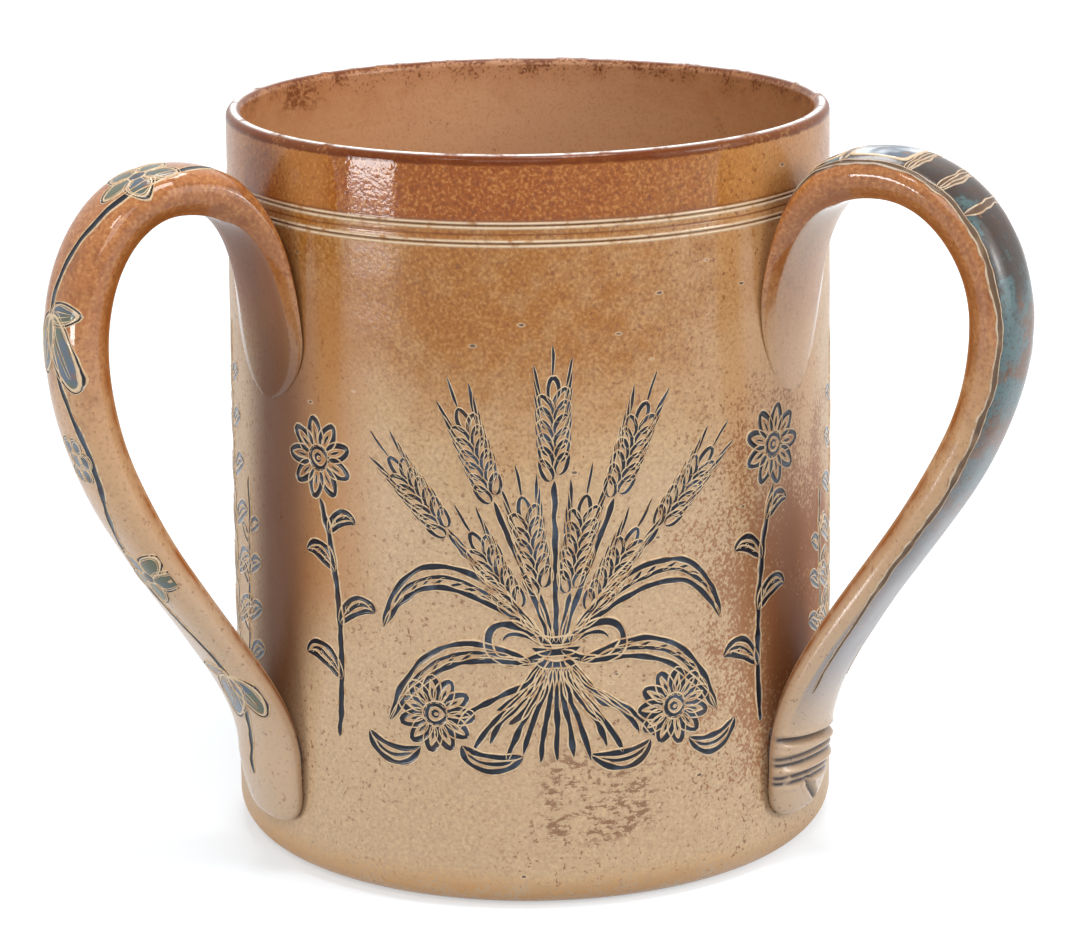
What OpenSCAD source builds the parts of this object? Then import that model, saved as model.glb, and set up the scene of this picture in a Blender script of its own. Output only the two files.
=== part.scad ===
// Loving cup in salt-glazed stoneware: a thrown cup, three pulled strap handles, and the beds
// of clay slip that lute the two ends of each handle to the wall.
// The axis of the cup is Z, the cup stands on Z = 0 and its front faces -Y.

/* [Cup] */
// Height of the cup, from the table to the top of the lip
cup_h = 160; // [130:1:200]
// Outside diameter of the wall at the rim
rim_d = 130; // [110:1:160]
// Outside diameter of the wall at the table, before the lower edge is rounded
base_d = 133; // [110:1:164]
// Thickness of the rounded lip
lip_t = 3.4; // [2.4:0.1:5]
// Thickness of the wall just above the floor
wall_t = 5.5; // [4:0.1:8]
// Thickness of the floor
floor_t = 7; // [4:0.5:12]
// Radius of the rounded lower edge
foot_round = 6.5; // [3:0.5:10]
// Radius inside, where the wall turns into the floor
inner_round = 9; // [4:0.5:18]

/* [Turned rings] */
// Distance from the rim down to the upper ring
ring_drop = 14.2; // [8:0.1:24]
// Distance between the two rings
ring_gap = 3.7; // [2:0.1:8]
// Width of a ring's groove
ring_w = 1; // [0.6:0.1:1.6]
// Depth of a ring's groove
ring_depth = 0.4; // [0.2:0.05:0.8]

/* [Left handle] */
// Distance from the wall to the outermost face
left_reach = 49; // [40:0.5:60]
// Distance from the rim down to the top face of the arch
left_arch_drop = 4.4; // [1:0.2:10]
// Distance from the rim down to the widest point
left_belly_drop = 40; // [32:1:50]
// How far down the handle stays wide, as a share of the drop from there to the lower end
left_fullness = 0.44; // [0.3:0.01:0.5]

/* [Right handle] */
// Distance from the wall to the outermost face
right_reach = 53; // [40:0.5:60]
// Distance from the rim down to the top face of the arch
right_arch_drop = 2.6; // [1:0.2:10]
// Distance from the rim down to the widest point
right_belly_drop = 37; // [32:1:50]
// How far down the handle stays wide, as a share of the drop from there to the lower end
right_fullness = 0.38; // [0.3:0.01:0.5]

/* [Rear handle] */
// Distance from the wall to the outermost face
rear_reach = 51; // [40:0.5:60]
// Distance from the rim down to the top face of the arch
rear_arch_drop = 5; // [1:0.2:10]
// Distance from the rim down to the widest point
rear_belly_drop = 38; // [32:1:50]
// How far down the handle stays wide, as a share of the drop from there to the lower end
rear_fullness = 0.4; // [0.3:0.01:0.5]

/* [Strap of every handle] */
// Angle of each front handle from the front of the cup
front_angle = 57.5; // [50:0.5:65]
// Thickness of the strap over the arch
strap_t = 9.6; // [7:0.2:12]
// Distance from the wall to the middle of the arch
arch_out = 22.5; // [18:0.5:28]
// Width where the strap leaves the wall at the top
root_w = 28; // [20:0.5:36]
// Width at the top of the arch
arch_w = 18.5; // [14:0.5:24]
// Width at the widest point of the handle
belly_w = 17.5; // [12:0.5:22]
// Distance from the rim down to the end of the upper tongue
tongue_drop = 56; // [50:1:64]
// Thickness of the upper tongue at its end
tongue_t = 2.6; // [2:0.2:4]
// Height above the rounded lower edge where the strap comes to lie on the wall
foot_rise = 18; // [14:0.5:26]
// Height of the lower end above the rounded lower edge
tip_rise = 4.5; // [1:0.5:6]
// Width of the lower end
foot_w = 24; // [18:0.5:30]
// Thickness where the strap comes to lie on the wall
foot_t = 6.2; // [4.6:0.2:8]
// Thickness of the lower end at its tip
tip_t = 3.6; // [3:0.2:5]

/* [Slip] */
// Thickness of the slip between a handle and the wall
slip_t = 0.4; // [0.3:0.05:0.8]
// How far a handle's wall side is pressed in before it is trimmed to the slip
press = 0.6; // [0.4:0.1:1]

/* [Hidden] */
$fn = 180;
rim_r = rim_d / 2;
base_r = base_d / 2;
inner_r = base_r - wall_t;
tongue_z = cup_h - tongue_drop;
foot_z = foot_round + foot_rise;
tip_z = foot_round + tip_rise;
ring_heights = [cup_h - ring_drop - ring_gap, cup_h - ring_drop];

// Shares of a span at which the centre line's four curves are steered
tongue_pull = 0.7;
root_pull = 0.15;
arch_pull = 0.56;
drop_pull = 0.7;
tip_pull = 1 / 3;

// Shares of a span over which the strap changes width or thickness
tongue_taper = 0.16;
swell_share = 0.75;
spread_start = 0.45;

inner_corner = 4;    // squareness of the side that faces the fingers
outer_corner = 2.6;  // squareness of the back
tip_corner = 3.5;    // squareness of the lower end's outline
tongue_lift = 0.2;   // how far the centre line stands off the wall at the upper end
hug_near = 3;        // closer than this to the wall the section bends round it
hug_span = 14;       // and over this much further out it straightens
blunt = 0.02;        // least share of the width at an end

sides = 24;                 // points round a section
spans = [16, 12, 22, 8];    // sections along tongue, arch, drop and foot
crowd = 1.7;                // how much closer the sections stand at the two ends
stations = [for (k = [0:3]) for (j = [0:spans[k] - (k < 3 ? 1 : 0)])
    let (t = j / spans[k])
    [k, k == 0 ? pow(t, crowd) : k == 3 ? 1 - pow(1 - t, crowd) : t]];
upper_stations = [for (s = stations) if (s[0] < 1) s];
lower_stations = [for (s = stations) if (s[0] > 2 || (s[0] == 2 && s[1] > 0.5)) s];

// Angles about Z that the front and the rear of the cup face
front_face_angle = 270;
rear_face_angle = 90;

// Angle about Z, reach, drop of the arch, drop of the widest point, fullness
left = [front_face_angle - front_angle, left_reach, left_arch_drop, left_belly_drop, left_fullness];
right = [front_face_angle + front_angle, right_reach, right_arch_drop, right_belly_drop, right_fullness];
rear = [rear_face_angle, rear_reach, rear_arch_drop, rear_belly_drop, rear_fullness];

clay = "#bd8c5b";
slip = "#9a6d44";

function mix(a, b, t) = a + (b - a) * t;
function clamp(t) = max(0, min(1, t));
function ease(t) = (1 - cos(180 * clamp(t))) / 2;
function wall_r(z) = mix(base_r, rim_r, z / cup_h);
function arc(c, r, from, to, n = 10) =
    [for (i = [0:n]) let (a = mix(from, to, i / n)) c + r * [cos(a), sin(a)]];

function bezier(p, t) =
    pow(1 - t, 3) * p[0] + 3 * t * pow(1 - t, 2) * p[1] + 3 * t * t * (1 - t) * p[2] + pow(t, 3) * p[3];
function heading(p, t) =
    let (d = pow(1 - t, 2) * (p[1] - p[0]) + 2 * t * (1 - t) * (p[2] - p[1]) + t * t * (p[3] - p[2]))
    d / norm(d);

// Centre line of a handle, as radius and height: up the wall, over the arch, down and in, down the wall
function centre_line(h) =
    let (top_z = cup_h - h[2] - strap_t / 2,
         belly_z = cup_h - h[3],
         tongue_r = wall_r(tongue_z) + tongue_lift,
         top_r = wall_r(top_z) + arch_out,
         belly_r = wall_r(belly_z) + h[1] - strap_t / 2,
         foot_r = wall_r(foot_z) + foot_t / 2 - press,
         tip_r = wall_r(tip_z) + tip_t / 2 - press)
    [[[tongue_r, tongue_z], [tongue_r, mix(tongue_z, top_z, tongue_pull)],
      [mix(tongue_r, top_r, root_pull), top_z], [top_r, top_z]],
     [[top_r, top_z], [mix(top_r, belly_r, arch_pull), top_z],
      [belly_r, mix(belly_z, top_z, arch_pull)], [belly_r, belly_z]],
     [[belly_r, belly_z], [belly_r, mix(belly_z, foot_z, h[4])],
      [foot_r, mix(foot_z, belly_z, drop_pull - h[4])], [foot_r, foot_z]],
     [[foot_r, foot_z], [foot_r, mix(foot_z, tip_z, tip_pull)],
      [tip_r, mix(tip_z, foot_z, tip_pull)], [tip_r, tip_z]]];

// Width and thickness at share t of span k
function strap_width(k, t) =
    k == 0 ? mix(root_w, arch_w, ease(t)) * sqrt(1 - pow(1 - min(1, max(blunt, t / tongue_taper)), 2))
    : k == 1 ? mix(arch_w, belly_w, ease(t))
    : k == 2 ? mix(belly_w, foot_w, ease((t - spread_start) / (1 - spread_start)))
    : foot_w * pow(1 - pow(min(t, 1 - pow(blunt, 2)), tip_corner), 1 / tip_corner);
function strap_thickness(k, t) =
    k == 0 ? mix(tongue_t, strap_t, clamp(t / swell_share))
    : k == 1 ? strap_t
    : k == 2 ? mix(strap_t, foot_t, t)
    : mix(foot_t, tip_t, t);

// One section: a rounded rectangle across the centre line, bent round the wall where it lies on it
function section(line, s) =
    let (p = bezier(line[s[0]], s[1]),
         d = heading(line[s[0]], s[1]),
         half_w = strap_width(s[0], s[1]) / 2,
         half_t = strap_thickness(s[0], s[1]) / 2,
         hug = 1 - ease((p[0] - wall_r(p[1]) - hug_near) / hug_span))
    [for (i = [0:sides - 1])
        let (c = cos(360 * i / sides),
             n = sin(360 * i / sides),
             e = 2 / (n > 0 ? inner_corner : outer_corner),
             u = half_w * sign(c) * pow(abs(c), e),
             v = half_t * sign(n) * pow(abs(n), e),
             r = p[0] + d[1] * v)
        [mix(r, sqrt(r * r - u * u), hug), u, p[1] - d[0] * v]];

// A closed strap through a list of stations, in the upright plane through +X
module strap(h, list) {
    line = centre_line(h);
    n = len(list);
    ends = [for (s = [list[0], list[n - 1]]) let (p = bezier(line[s[0]], s[1])) [p[0], 0, p[1]]];
    points = concat([for (s = list) each section(line, s)], ends);
    skin = [for (j = [0:n - 2]) for (i = [0:sides - 1])
        let (a = j * sides + i, b = j * sides + (i + 1) % sides)
        each [[a, b, b + sides], [a, b + sides, a + sides]]];
    caps = [for (i = [0:sides - 1])
        let (k = (i + 1) % sides, last = (n - 1) * sides)
        each [[n * sides, k, i], [n * sides + 1, last + i, last + k]]];
    rotate([0, 0, h[0]]) polyhedron(points, concat(skin, caps), convexity = 6);
}

// Everything inside the wall, with the wall made thicker by extra
module wall_cone(extra) {
    translate([0, 0, -cup_h])
        cylinder(h = 3 * cup_h, r1 = wall_r(-cup_h) + extra, r2 = wall_r(2 * cup_h) + extra);
}

// Cup turned from one outline: flat base, rounded lower edge, two rings, lip, inside and floor
module cup_body() {
    foot_c = [wall_r(foot_round) - foot_round, foot_round];
    lip_c = [rim_r - lip_t / 2, cup_h - lip_t / 2];
    corner_c = [inner_r - inner_round, floor_t + inner_round];
    rings = [for (z = ring_heights)
        each [[wall_r(z - ring_w / 2), z - ring_w / 2],
              [wall_r(z) - ring_depth, z],
              [wall_r(z + ring_w / 2), z + ring_w / 2]]];
    color(clay) rotate_extrude()
        polygon(concat([[0, 0]], arc(foot_c, foot_round, -90, 0), rings, arc(lip_c, lip_t / 2, 0, 180),
                       arc(corner_c, inner_round, 0, -90), [[0, floor_t]]));
}

// Handle trimmed back to the face of its slip
module handle(h) {
    color(clay) difference() {
        strap(h, stations);
        wall_cone(slip_t);
    }
}

// Slip between the wall and one end of a handle
module luting(h, list) {
    color(slip) intersection() {
        strap(h, list);
        difference() {
            wall_cone(slip_t);
            wall_cone(0);
        }
    }
}

cup_body();
handle(left);  // left_handle
luting(left, upper_stations);  // left_upper_luting
luting(left, lower_stations);  // left_lower_luting
handle(right);  // right_handle
luting(right, upper_stations);  // right_upper_luting
luting(right, lower_stations);  // right_lower_luting
handle(rear);  // rear_handle
luting(rear, upper_stations);  // rear_upper_luting
luting(rear, lower_stations);  // rear_lower_luting
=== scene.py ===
import bpy
import numpy as np
from mathutils import Matrix, Vector


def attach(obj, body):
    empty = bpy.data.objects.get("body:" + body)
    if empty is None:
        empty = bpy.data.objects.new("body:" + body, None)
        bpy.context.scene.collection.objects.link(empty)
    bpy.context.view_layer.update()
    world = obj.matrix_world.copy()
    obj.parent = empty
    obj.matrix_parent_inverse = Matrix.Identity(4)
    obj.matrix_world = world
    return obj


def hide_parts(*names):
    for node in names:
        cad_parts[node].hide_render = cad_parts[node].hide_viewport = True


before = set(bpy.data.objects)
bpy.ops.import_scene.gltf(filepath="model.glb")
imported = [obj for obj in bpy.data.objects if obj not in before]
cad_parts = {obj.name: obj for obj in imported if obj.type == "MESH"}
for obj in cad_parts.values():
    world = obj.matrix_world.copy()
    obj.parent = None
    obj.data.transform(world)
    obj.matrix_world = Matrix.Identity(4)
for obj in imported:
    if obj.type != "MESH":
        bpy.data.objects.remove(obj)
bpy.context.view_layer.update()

mm = 0.001  # pieces are worked out in millimetres and meshed in metres
print("frame loaded:", len(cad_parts), "nodes")


# Straight share t of the way from a to b
def mix(a, b, t):
    return a + (b - a) * t


# Half a cosine wave from 0 to 1
def ease(t):
    return (1 - np.cos(np.pi * np.clip(t, 0, 1))) / 2


# Bell of height 1 round a place
def bell(x, place, width):
    return np.exp(-((x - place) / width) ** 2)


# Directions of length 1
def unit(v):
    return v / np.linalg.norm(v, axis=-1, keepdims=True)


# Length along a line of points, from its start to each of them
def lengthAlong(points):
    return np.concatenate([[0], np.cumsum(np.linalg.norm(np.diff(points, axis=0), axis=1))])


# Sum of a few sines with seeded pitches and phases, between about -1 and 1: a slow unevenness along a line
def unevenness(s, pitch, seed):
    rng = np.random.default_rng(seed)
    waves = 2 * np.pi / (pitch * rng.uniform(0.6, 1.9, 5))
    return np.sin(np.multiply.outer(s, waves) + rng.uniform(0, 2 * np.pi, 5)).mean(-1) * 1.6


# Quads of a grid of points; the front lies along row direction x column direction
def gridFaces(rows, cols, closeRows=False, closeCols=False, start=0):
    i = np.arange(rows if closeRows else rows - 1)[:, None]
    j = np.arange(cols if closeCols else cols - 1)[None, :]
    k, n = (i + 1) % rows, (j + 1) % cols
    corners = np.broadcast_arrays(i * cols + j, k * cols + j, k * cols + n, i * cols + n)
    return start + np.stack(corners, -1).reshape(-1, 4)


# Triangles from one middle point to a ring of points that follow each other
def fanFaces(middle, ringStart, count, turned=False):
    j = ringStart + np.arange(count)
    k = ringStart + (np.arange(count) + 1) % count
    tris = np.stack([np.full(count, middle), j, k], -1)
    return tris[:, ::-1] if turned else tris


# Object in the scene for a mesh, a lamp or a camera
def addObject(name, data):
    thing = bpy.data.objects.new(name, data)
    bpy.context.scene.collection.objects.link(thing)
    return thing


# One finished piece: its mesh in metres, its attributes, its finish and its place on the frame
def makePiece(name, points, quads, tris, attributes, material, nodes=()):
    tris = np.zeros((0, 3), int) if tris is None else tris
    corners = np.concatenate([quads.ravel(), tris.ravel()]).astype(np.int32)
    sizes = np.concatenate([np.full(len(quads), 4), np.full(len(tris), 3)])
    mesh = bpy.data.meshes.new(name)
    mesh.vertices.add(len(points))
    mesh.vertices.foreach_set("co", (points * mm).astype(np.float32).ravel())
    mesh.loops.add(len(corners))
    mesh.loops.foreach_set("vertex_index", corners)
    mesh.polygons.add(len(sizes))
    mesh.polygons.foreach_set("loop_start", (np.cumsum(sizes) - sizes).astype(np.int32))
    mesh.update(calc_edges=True)
    mesh.validate()
    mesh.shade_smooth()
    for key, values in attributes.items():
        mesh.attributes.new(key, "FLOAT", "POINT").data.foreach_set("value", np.asarray(values, np.float32).ravel())
    mesh.materials.append(material)
    piece = addObject(name, mesh)
    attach(piece, "root")
    if nodes:
        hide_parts(*nodes)
    print(name, len(quads) * 2 + len(tris), "triangles")


# Shader colour from the 0-255 values of a colour chart
def tone(red, green, blue):
    c = np.array([red, green, blue]) / 255
    c = np.where(c <= 0.04045, c / 12.92, ((c + 0.055) / 1.055) ** 2.4)
    return (*c, 1.0)


# A value or colour in a shader: sums, differences and products of such wires make Math nodes
class Wire:
    def __init__(self, tree, socket):
        self.tree, self.socket = tree, socket

    def __add__(self, other):
        return calc("ADD", self, other)

    def __radd__(self, other):
        return calc("ADD", other, self)

    def __sub__(self, other):
        return calc("SUBTRACT", self, other)

    def __rsub__(self, other):
        return calc("SUBTRACT", other, self)

    def __mul__(self, other):
        return calc("MULTIPLY", self, other)


# Adds a node and gives one of its outputs: a wire is linked, and any other value is set on the socket itself
def put(tree, kind, values=None, out=0, **options):
    node = tree.nodes.new("ShaderNode" + kind)
    for key, value in options.items():
        setattr(node, key, value)
    for key, value in (values or {}).items():
        if isinstance(value, Wire):
            tree.links.new(value.socket, node.inputs[key])
        else:
            node.inputs[key].default_value = value
    return Wire(tree, node.outputs[out]) if node.outputs else node


# All outputs of the node that a wire comes from
def outputs(wire):
    return [Wire(wire.tree, socket) for socket in wire.socket.node.outputs]


def calc(operation, a, b=0.0):
    tree = a.tree if isinstance(a, Wire) else b.tree
    return put(tree, "Math", {0: a, 1: b}, operation=operation)


# Smooth step of a value from 0 at low to a share at high
def rise(value, low, high, to=1.0):
    return put(value.tree, "MapRange", {0: value, 1: low, 2: high, 3: 0.0, 4: to}, interpolation_type="SMOOTHSTEP")


# Smooth step down, from a share at low to 0 at high
def fall(value, low, high, start=1.0):
    return put(value.tree, "MapRange", {0: value, 1: low, 2: high, 3: start, 4: 0.0}, interpolation_type="SMOOTHSTEP")


# Share between four limits: it rises over the first two and falls over the last two
def zone(value, limits, share=1.0):
    return rise(value, *limits[:2]) * fall(value, *limits[2:], share)


def blend(share, a, b):
    return put(share.tree, "Mix", {0: share, 6: a, 7: b}, out=2, data_type="RGBA")


# Colours laid over a first one, each by its share
def coats(colour, *layers):
    for share, tint in layers:
        colour = blend(share, colour, tint)
    return colour


def noise(place, scale, detail=2.0, rough=0.55):
    return put(place.tree, "TexNoise", {"Vector": place, "Scale": scale, "Detail": detail, "Roughness": rough})


def stretched(place, shares):
    return put(place.tree, "VectorMath", {0: place, 1: shares}, operation="MULTIPLY")


# Colour that runs through stops of (share, colour)
def ramp(share, stops):
    colour = put(share.tree, "ValToRGB", {0: share})
    elements = colour.socket.node.color_ramp.elements
    while len(elements) < len(stops):
        elements.new(0.5)
    for element, (at, shade) in zip(elements, stops):
        element.position, element.color = at, shade
    return colour


def newMaterial(name):
    material = bpy.data.materials.new(name)
    material.use_nodes = True
    material.node_tree.nodes.clear()
    return material, material.node_tree


def attribute(tree, name):
    return put(tree, "Attribute", out=2, attribute_name=name)


# Place on the piece and its coordinates in metres, and its height in millimetres
def objectPlace(tree):
    place = put(tree, "TexCoord", out=3)
    xyz = outputs(put(tree, "SeparateXYZ", {0: place}))
    return place, xyz, xyz[2] * (1 / mm)


# Grains at random spots, of a pitch in millimetres: distance from the nearest one, and its lot from 0 to 1
def grains(place, pitch):
    distance, colour = outputs(put(place.tree, "TexVoronoi", {"Vector": place, "Scale": 1 / (mm * pitch)}))[:2]
    return distance, put(place.tree, "SeparateColor", {0: colour})


# Glazed surface: colour, roughness, a bump with its depth in metres, and how strongly it mirrors
def finishMaterial(colour, roughness, height, depth, mirror=0.5):
    tree = colour.tree
    bump = put(tree, "Bump", {"Strength": 1.0, "Distance": depth, "Height": height})
    shader = put(tree, "BsdfPrincipled", {"Base Color": colour, "Roughness": roughness, "Specular IOR Level": mirror,
                                          "Normal": bump})
    put(tree, "OutputMaterial", {"Surface": shader})


# Zones are limits of azimuth, in radians from the front, or of height in mm: starts, full, fades, gone
glaze = dict(
    low=tone(189, 159, 125), middle=tone(184, 148, 107), shoulder=tone(156, 99, 36), band=tone(148, 76, 14),
    deep=tone(106, 48, 12), fleck=tone(200, 138, 70), pale=tone(220, 188, 146), flush=tone(190, 138, 80),
    # Near-white for the crest of the lip is a painted highlight
    lip=tone(96, 42, 18), paintedCrestHighlight=tone(250, 246, 243), inside=tone(196, 150, 112), insideDeep=tone(180, 124, 76),
    rust=tone(132, 82, 50), rustGlow=tone(174, 118, 72), rustPale=tone(146, 96, 64), run=tone(128, 88, 62),
    # The warm and scorched browns on this line also paint the left handle's shade, and its orange glow is painted light
    paintedGlow=tone(204, 148, 94), warmAndShade=tone(168, 112, 60), scorchAndShade=tone(104, 60, 30), pit=tone(62, 36, 26),
    speck=tone(116, 64, 34), ringPale=tone(216, 192, 160), ringDark=tone(60, 42, 36), ringBrown=tone(118, 62, 24),
    drift=24.0, cloud=170.0, grain=1350.0,  # how many to a metre, about
    skinDepth=0.00002, mirror=0.36,
    bandHigh=(145.9, 146.5), toastHigh=(77.0, 119.0), lipHigh=(147.0, 161.0), footHigh=(9.0, 17.0),
    warmAndShadeRound=(-1.1, -0.9, -0.68, -0.44), warmAndShadeHigh=(50.0, 70.0, 120.0, 142.0),
    scorchAndShadeRound=(-1.22, -1.0, -0.9, -0.67), scorchAndShadeHigh=(16.0, 46.0, 130.0, 168.0),
    paintedGlowRound=(0.54, 0.76, 1.05, 1.3), paintedGlowHigh=(74.0, 104.0), bandPaintedGlowRound=(-1.0, -0.86, -0.74, -0.6),
    rustRound=(0.28, 0.85, 1.2, 1.45), rustHigh=(8.0, 34.0, 72.0, 122.0),
    coreRound=(0.62, 1.04), coreHigh=(24.0, 44.0, 60.0, 98.0),
    runRound=(-0.06, 0.1, 0.26, 0.5), runHigh=(11.0, 20.0, 28.0, 40.0),
    blotRound=(-2.35, -2.2, -2.12, -1.95), blotHigh=(150.0, 155.0),
)


# Toasted glaze: with height it goes from pale buff to brown, lowest at the front, most above the rings and less on the
# right. Beside the left handle it is warm and scorched brown, darkened further by painted shade of that handle. Painted
# orange light glows on it towards the right handle and on the band beside the left one, and drift, clouds, salt grains
# and specks break it up.
def toasted(g, place, xyz, z):
    azimuth = calc("ARCTAN2", xyz[0], xyz[1] * -1.0)
    drift = noise(place, g["drift"], 3.0)
    cloud = noise(place, g["cloud"], 3.0, 0.6)
    grain = noise(place, g["grain"], 1.0)
    hollow, crown = fall(grain, 0.32, 0.48), rise(grain, 0.52, 0.68)
    onBand = rise(z, *g["bandHigh"])
    dip = (calc("COSINE", azimuth * 2.0) - 1.0) * 14.0
    up = rise(z + dip + (drift - 0.5) * 50.0, *g["toastHigh"], 0.62)
    facing = 0.78 + calc("COSINE", (azimuth + 0.25) * 2.0) * 0.22
    toast = (up + onBand * 0.38) * facing + (cloud - 0.5) * (0.15 + up * 0.4)
    # Scorched brown beside the left handle, partly real toasting and partly painted shade and shadow of that handle
    lean = azimuth + fall(z, 34.0, 60.0, 0.08)
    scorchAndShade = (rise(azimuth, *g["scorchAndShadeRound"][:2]) * fall(lean, *g["scorchAndShadeRound"][2:])
              * rise(z, *g["scorchAndShadeHigh"][:2]) * fall(z + drift * 40.0, *g["scorchAndShadeHigh"][2:], 0.85))
    # Painted light: an orange glow on the right flank below the band, and a lighter stretch of the band by the left
    # handle
    paintedGlow = (zone(azimuth, g["paintedGlowRound"], 0.4) * rise(z, *g["paintedGlowHigh"])
            + onBand * zone(azimuth, g["bandPaintedGlowRound"], 0.35))
    dots = rise(noise(place, 900.0, 2.0, 0.6), 0.61, 0.67, 0.7)
    colour = coats(
        ramp(toast, [(0.0, g["low"]), (0.28, g["middle"]), (0.62, g["shoulder"]), (1.0, g["band"])]),
        (hollow * (0.14 + toast * 0.4), g["deep"]),
        (crown * fall(toast, 0.0, 1.0, 0.3), g["pale"]),
        (crown * toast * 0.5, g["fleck"]),
        # Warm brown left of the front, partly painted shade of the left handle
        (zone(azimuth, g["warmAndShadeRound"]) * zone(z, g["warmAndShadeHigh"], 0.7), g["warmAndShade"]),
        (scorchAndShade, g["scorchAndShade"]),
        (paintedGlow, g["paintedGlow"]),
        (dots * rise(drift, 0.3, 0.6), g["speck"]))
    return dict(colour=colour, azimuth=azimuth, drift=drift, cloud=cloud, grain=grain, hollow=hollow, onBand=onBand,
                scorchAndShade=scorchAndShade)


# Finish of the cup: toasted glaze with an orange stain at the foot, a rust patch, blots and pits, rings, a red-brown
# lip with a painted highlight along its crest, and a browner inside
def cupMaterial(g):
    material, tree = newMaterial("salt_glazed_cup")
    place, xyz, z = objectPlace(tree)
    wall = toasted(g, place, xyz, z)
    azimuth, cloud, grain = wall["azimuth"], wall["cloud"], wall["grain"]
    stain = fall(z + (wall["drift"] + cloud) * 7.0, *g["footHigh"], 0.85) * rise(cloud + grain, 0.7, 1.1)

    # Rust patch on the right of the front: a soft brown glow, and specks that crowd together towards its middle
    field = zone(azimuth, g["rustRound"]) * zone(z, g["rustHigh"])
    core = rise(azimuth, *g["coreRound"]) * zone(z, g["coreHigh"]) * field
    blots = noise(place, 90.0, 3.0, 0.6)
    specks = noise(place, 1250.0, 2.0, 0.6) * 0.6 + blots * 0.4
    rustGlow = rise(core + (blots - 0.5) * 0.6, 0.0, 0.8, 0.85) * rise(core, 0.0, 0.2)
    rust = rise(specks + field * 0.15 + core * 0.1, 0.56, 0.68, 0.85) * rise(field, 0.0, 0.2)
    # A few blots below it, near the foot, wider than tall
    wide = stretched(place, (1.0, 1.0, 2.0))
    coarse = noise(wide, 420.0, 5.0, 0.72) * 0.75 + blots * 0.25
    runs = zone(azimuth, g["runRound"]) * zone(z, g["runHigh"])
    # Small marks, wider than tall: a dark pit inside a pale rim
    markFar, markLot = grains(wide, 9.0)
    markFar, marked = markFar + grain * 0.05, rise(markLot, 0.7, 0.71)
    pit = fall(markFar, 0.07, 0.1) * marked

    # Inside: browner towards the sides and the lip, with faint throwing lines and a rusty blot high on the left
    aside = rise(calc("ABSOLUTE", xyz[0]), 0.01, 0.06, 0.6)
    throwing = noise(stretched(place, (0.4, 0.4, 4.0)), 150.0, 3.0)
    blot = zone(azimuth, g["blotRound"]) * rise(z, *g["blotHigh"])
    bowl = coats(
        g["inside"],
        (aside + (throwing - 0.5) * 0.5, g["insideDeep"]),
        (wall["hollow"] * 0.2, g["band"]),
        (rise(z + (cloud - 0.5) * 18.0, *g["lipHigh"], 0.34), g["band"]),
        (rise(coarse + blot * 0.06, 0.52, 0.62, 0.75) * blot, g["deep"]))

    lip = rise(attribute(tree, "lip") + (cloud + grain - 1.0) * 1.5, 0.3, 0.95, 0.85)
    colour = coats(
        wall["colour"],
        (stain, g["flush"]),
        (rustGlow, g["rustGlow"]),
        (rust, blend(rise(core, 0.1, 0.8), g["rustPale"], g["rust"])),
        (rise(coarse, 0.515, 0.56, 0.85) * rise(runs, 0.1, 0.7), g["run"]),
        (fall(markFar, 0.11, 0.15) * marked * 0.4, g["ringPale"]),
        (pit * 0.8, g["pit"]),
        (attribute(tree, "ringBrown") * 0.85, g["ringBrown"]),
        (attribute(tree, "ringPale") * rise(noise(place, 420.0), 0.2, 0.5), g["ringPale"]),
        (attribute(tree, "ringDark") * 0.9, g["ringDark"]),
        (attribute(tree, "within"), bowl),
        (lip, g["lip"]),
        # Painted highlight: a white line along the crest of the lip, broken up by the clouds
        (attribute(tree, "paintedCrestHighlight") * rise(cloud, 0.3, 0.52), g["paintedCrestHighlight"]))

    # Smoothest on the band, rougher low down and round the back; rust, the scorched and shaded strip and the lip mirror
    # less
    rough = (0.08 + cloud * 0.14) * fall(wall["onBand"], 0.0, 1.7)
    rough = rough + fall(z, 70.0, 130.0, 0.1) + fall(calc("COSINE", azimuth), 0.5, 0.8, 0.22)
    dry = rust * 0.2 + core * 0.22 + lip * 0.3 + wall["onBand"] * 0.08 + wall["scorchAndShade"] * 0.3
    finishMaterial(colour, rough, grain + cloud * 2.5 - pit * 8.0, g["skinDepth"], g["mirror"] - dry * 0.7)
    return material


cup = dict(
    height=160.0, rimRadius=65.0, baseRadius=66.5, lip=3.4, wall=5.5, floor=7.0, footRound=6.5, innerRound=9.0,
    rings=(142.1, 145.8), ringDepth=0.25, ringWide=0.2, midDepth=0.08, burr=0.1, burrOut=0.47, burrWide=0.18,
    sway=(0.1, 0.07), ridge=0.03, ridgePitch=13.0, rimWave=0.2, around=400,
)


def wallRadius(z):
    return mix(cup["baseRadius"], cup["rimRadius"], z / cup["height"])


# How far the hand-thrown wall strays from a true cone: two slow waves round the axis and faint throwing ridges
def wallSway(a, z):
    waves = cup["sway"][0] * np.sin(2 * a + 0.7 + z / 60) + cup["sway"][1] * np.sin(3 * a - 1.1 - z / 45)
    ridges = cup["ridge"] * np.sin(2 * np.pi * z / cup["ridgePitch"] + 0.8 * np.sin(a + 0.4))
    return (waves + ridges * ease((min(cup["rings"]) - 3 - z) / 6)) * ease(z / 25)


def arcPoints(centreR, centreZ, radius, start, end, count):
    a = np.radians(np.linspace(start, end, count))
    return np.stack([centreR + radius * np.cos(a), centreZ + radius * np.sin(a)], -1)


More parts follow.
